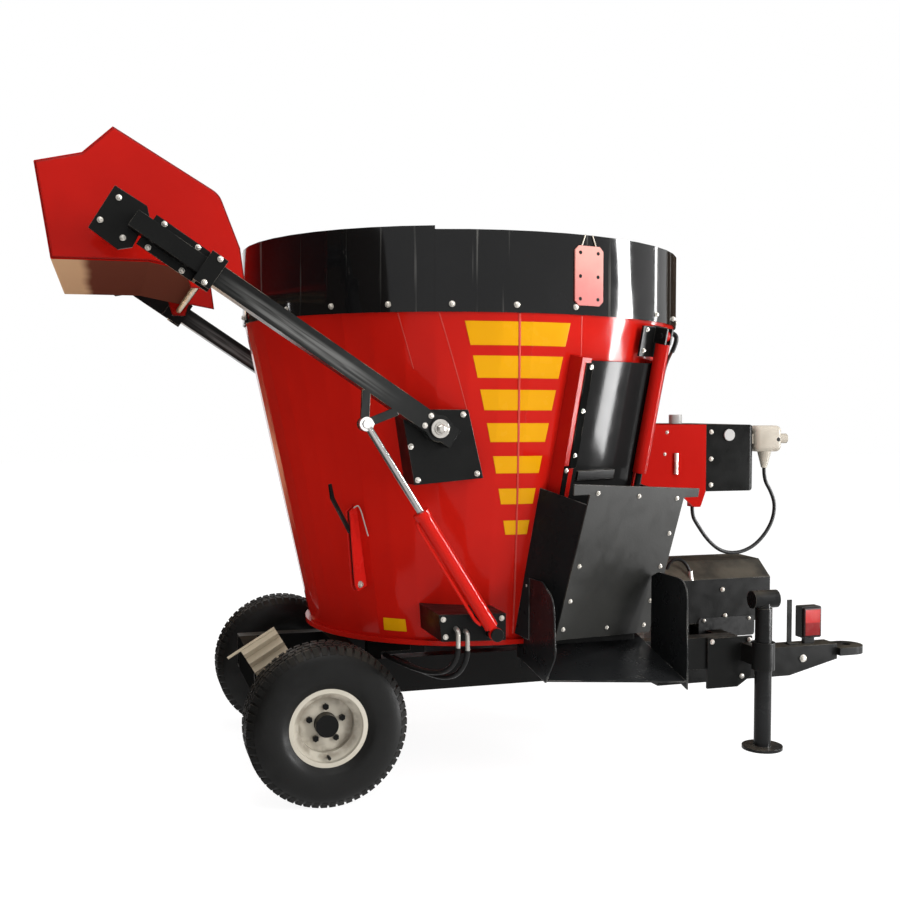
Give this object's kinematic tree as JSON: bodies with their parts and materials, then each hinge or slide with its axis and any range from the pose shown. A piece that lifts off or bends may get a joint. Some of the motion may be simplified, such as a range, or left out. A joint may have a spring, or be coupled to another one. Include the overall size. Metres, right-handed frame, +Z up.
{
  "type": "feed mixer",
  "caption": "Trailed vertical feed mixer: conical tub with an upright auger, rear loading hopper on lift arms, side discharge door with chute, axle with wheels, drawbar and parking jack.",
  "frame": {"origin": "on the ground under the middle of the machine's box, the hose left out", "axes": "+X forward along the drawbar, +Y to the machine's left, +Z up"},
  "size_m": [4.0854, 2.163, 2.6405],
  "materials": {
    "red_paint": "gloss",
    "black_paint": "gloss",
    "tag_paint": "satin",
    "auger_steel": "worn",
    "cast": "painted",
    "bright_steel": "polished",
    "pale_steel": "zinc plated",
    "rim_paint": "satin",
    "tyre": "matte",
    "lamp_body": "matte",
    "lamp_red": "gloss",
    "cream": "satin",
    "white": "gloss",
    "hose": "matte",
    "beige": "satin"
  },
  "bodies": {
    "machine": {"tub_wall": "red_paint", "tub_floor": "red_paint", "band_front": "black_paint", "band_rear": "black_paint", "hanging_plate": "tag_paint", "auger_reducer": "cast", "gear_case": "cast", "drive_guard": "black_paint", "beam_right": "black_paint", "beam_left": "black_paint", "cross_members": "black_paint", "axle": "black_paint", "load_cells": "pale_steel", "drawbar": "black_paint", "drawbar_eye": "black_paint", "rest_bar": "black_paint", "lamp_housing": "lamp_body", "lamp_lens": "lamp_red", "jack_bracket": "black_paint", "pivot_boxes": "black_paint", "cylinder_bases": "black_paint", "door_rails": "red_paint", "door_barrel": "red_paint", "door_bracket": "black_paint", "chute_box": "black_paint", "chute_cover": "black_paint", "chute_tray": "black_paint", "knife_brackets": "red_paint", "tank_bracket": "red_paint", "oil_tank": "black_paint", "tank_fittings": "white", "indicator": "cream", "hose": "hose", "wheel_chock": "beige"},
    "wheel_right": {"hub_right": "black_paint", "rim_right": "rim_paint", "tyre_right": "tyre"},
    "wheel_left": {"hub_left": "black_paint", "rim_left": "rim_paint", "tyre_left": "tyre"},
    "auger": {"auger_core": "auger_steel", "auger_flight": "auger_steel", "auger_knives": "auger_steel"},
    "drive_shaft": {"drive_shaft": "pale_steel"},
    "input_shaft": {"input_shaft": "bright_steel"},
    "loader": {"arm_right": "black_paint", "arm_left": "black_paint", "arm_heads": "black_paint", "hopper_sides": "red_paint", "hopper_sheet": "red_paint", "tie_rod": "pale_steel"},
    "barrel_right": {"lift_barrel_right": "red_paint"},
    "barrel_left": {"lift_barrel_left": "red_paint"},
    "rod_right": {"lift_rod_right": "bright_steel"},
    "rod_left": {"lift_rod_left": "bright_steel"},
    "door": {"door": "black_paint"},
    "knife_right": {"counter_knife_right": "black_paint"},
    "knife_left": {"counter_knife_left": "black_paint"},
    "jack": {"jack_leg": "black_paint", "jack_head": "black_paint"}
  },
  "joints": [
    {"name": "wheel_right_spin", "type": "hinge", "parent": "machine", "child": "wheel_right", "pos_m": [-0.9673, -0.56646, 0.325], "axis": [0, 1, 0], "continuous": true},
    {"name": "wheel_left_spin", "type": "hinge", "parent": "machine", "child": "wheel_left", "pos_m": [-0.9673, 0.68354, 0.325], "axis": [0, 1, 0], "continuous": true},
    {"name": "auger_spin", "type": "hinge", "parent": "machine", "child": "auger", "pos_m": [-0.2103, 0.05854, 0.7], "axis": [0, 0, 1], "continuous": true},
    {"name": "drive_shaft_spin", "type": "hinge", "parent": "machine", "child": "drive_shaft", "pos_m": [0.3897, 0.05854, 0.47], "axis": [1, 0, 0], "continuous": true},
    {"name": "input_shaft_spin", "type": "hinge", "parent": "machine", "child": "input_shaft", "pos_m": [1.0297, 0.05854, 0.64], "axis": [1, 0, 0], "continuous": true},
    {"name": "loader_lift", "type": "hinge", "parent": "machine", "child": "loader", "pos_m": [-0.5863, 0.05854, 1.519], "axis": [0, -1, 0], "range_deg": [-25, 76]},
    {"name": "door_slide", "type": "slide", "parent": "machine", "child": "door", "axis": [0.0936, -0.1898, 0.9774], "range_m": [0, 0.42]},
    {"name": "counter_knife_right_swing", "type": "hinge", "parent": "machine", "child": "knife_right", "pos_m": [-0.81201, -0.46914, 0.86693], "axis": [0.6593, -0.7518, 0], "range_deg": [-14, 0]},
    {"name": "counter_knife_left_swing", "type": "hinge", "parent": "machine", "child": "knife_left", "pos_m": [-0.81201, 0.58622, 0.86693], "axis": [-0.6593, -0.7518, 0], "range_deg": [-14, 0]},
    {"name": "jack_slide", "type": "slide", "parent": "machine", "child": "jack", "axis": [0, 0, 1], "range_m": [0, 0.25]},
    {"name": "lift_barrel_right_swing", "type": "hinge", "parent": "machine", "child": "barrel_right", "pos_m": [-0.3623, -0.93146, 0.718], "axis": [0, -1, 0], "range_deg": [-2.12, 5.44]},
    {"name": "lift_rod_right_slide", "type": "slide", "parent": "barrel_right", "child": "rod_right", "axis": [-0.5316, 0, 0.847], "range_m": [-0.3436, 0.1157]},
    {"name": "lift_barrel_left_swing", "type": "hinge", "parent": "machine", "child": "barrel_left", "pos_m": [-0.3623, 1.04854, 0.718], "axis": [0, -1, 0], "range_deg": [-2.12, 5.44]},
    {"name": "lift_rod_left_slide", "type": "slide", "parent": "barrel_left", "child": "rod_left", "axis": [-0.5316, 0, 0.847], "range_m": [-0.3436, 0.1157]}
  ],
  "couplings": [
    {"joint": "drive_shaft_spin", "follows": "auger_spin", "ratio": 18},
    {"joint": "input_shaft_spin", "follows": "auger_spin", "ratio": -18},
    {"joint": "lift_barrel_right_swing", "follows": "loader_lift", "ratio": 0.065},
    {"joint": "lift_rod_right_slide", "follows": "loader_lift", "m_per_rad": -0.256},
    {"joint": "lift_barrel_left_swing", "follows": "loader_lift", "ratio": 0.065},
    {"joint": "lift_rod_left_slide", "follows": "loader_lift", "m_per_rad": -0.256}
  ]
}
